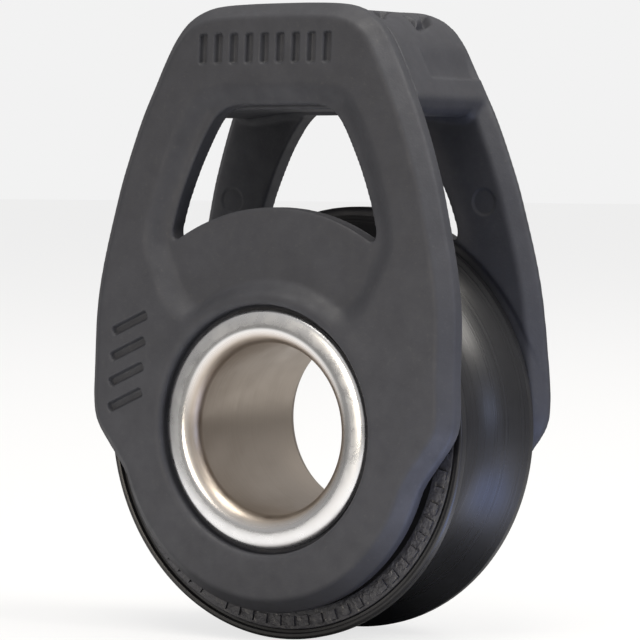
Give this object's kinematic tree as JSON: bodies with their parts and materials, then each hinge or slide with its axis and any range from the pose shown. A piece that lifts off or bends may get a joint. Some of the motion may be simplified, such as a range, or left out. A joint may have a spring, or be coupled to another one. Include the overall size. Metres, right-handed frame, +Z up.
{
  "type": "single sheave block",
  "caption": "Open-framed single sheave block that turns on two rows of balls round a hollow axle, with a windowed cheek each side and a solid crown.",
  "frame": {"origin": "middle of the hollow axle, on its axis and on the block's middle plane", "axes": "+Y along the axle towards the back cheek, +Z up from the axle to the crown, +X to the right seen from the front cheek"},
  "size_m": [0.0306, 0.015, 0.0452],
  "materials": {
    "cheek_polyamide": "glass-filled polyamide, moulded matte charcoal",
    "sheave_acetal": "black acetal, turned, satin",
    "race_acetal": "black acetal, moulded",
    "ball_acetal": "natural white acetal, ground",
    "axle_stainless": "stainless steel, turned bore, polished lip"
  },
  "bodies": {
    "frame": {"front_cheek": "cheek_polyamide", "back_cheek": "cheek_polyamide", "hollow_axle": "axle_stainless", "axle_end_ring": "axle_stainless", "inner_race": "race_acetal", "front_ball_washer": "race_acetal", "back_ball_washer": "race_acetal"},
    "sheave": {"sheave": "sheave_acetal"},
    "ball_train": {"front_ball_01": "ball_acetal", "front_ball_02": "ball_acetal", "front_ball_03": "ball_acetal", "front_ball_04": "ball_acetal", "front_ball_05": "ball_acetal", "front_ball_06": "ball_acetal", "front_ball_07": "ball_acetal", "front_ball_08": "ball_acetal", "front_ball_09": "ball_acetal", "front_ball_10": "ball_acetal", "front_ball_11": "ball_acetal", "front_ball_12": "ball_acetal", "front_ball_13": "ball_acetal", "front_ball_14": "ball_acetal", "front_ball_15": "ball_acetal", "front_ball_16": "ball_acetal", "front_ball_17": "ball_acetal", "front_ball_18": "ball_acetal", "front_ball_19": "ball_acetal", "front_ball_20": "ball_acetal", "front_ball_21": "ball_acetal", "front_ball_22": "ball_acetal", "front_ball_23": "ball_acetal", "front_ball_24": "ball_acetal", "back_ball_01": "ball_acetal", "back_ball_02": "ball_acetal", "back_ball_03": "ball_acetal", "back_ball_04": "ball_acetal", "back_ball_05": "ball_acetal", "back_ball_06": "ball_acetal", "back_ball_07": "ball_acetal", "back_ball_08": "ball_acetal", "back_ball_09": "ball_acetal", "back_ball_10": "ball_acetal", "back_ball_11": "ball_acetal", "back_ball_12": "ball_acetal", "back_ball_13": "ball_acetal", "back_ball_14": "ball_acetal", "back_ball_15": "ball_acetal", "back_ball_16": "ball_acetal", "back_ball_17": "ball_acetal", "back_ball_18": "ball_acetal", "back_ball_19": "ball_acetal", "back_ball_20": "ball_acetal", "back_ball_21": "ball_acetal", "back_ball_22": "ball_acetal", "back_ball_23": "ball_acetal", "back_ball_24": "ball_acetal"}
  },
  "joints": [
    {"name": "sheave_spin", "type": "hinge", "parent": "frame", "child": "sheave", "pos_m": [0, 0, 0], "axis": [0, 1, 0], "continuous": true},
    {"name": "ball_train_roll", "type": "hinge", "parent": "frame", "child": "ball_train", "pos_m": [0, 0, 0], "axis": [0, 1, 0], "continuous": true}
  ],
  "couplings": [
    {"joint": "ball_train_roll", "follows": "sheave_spin", "ratio": 0.5627}
  ]
}
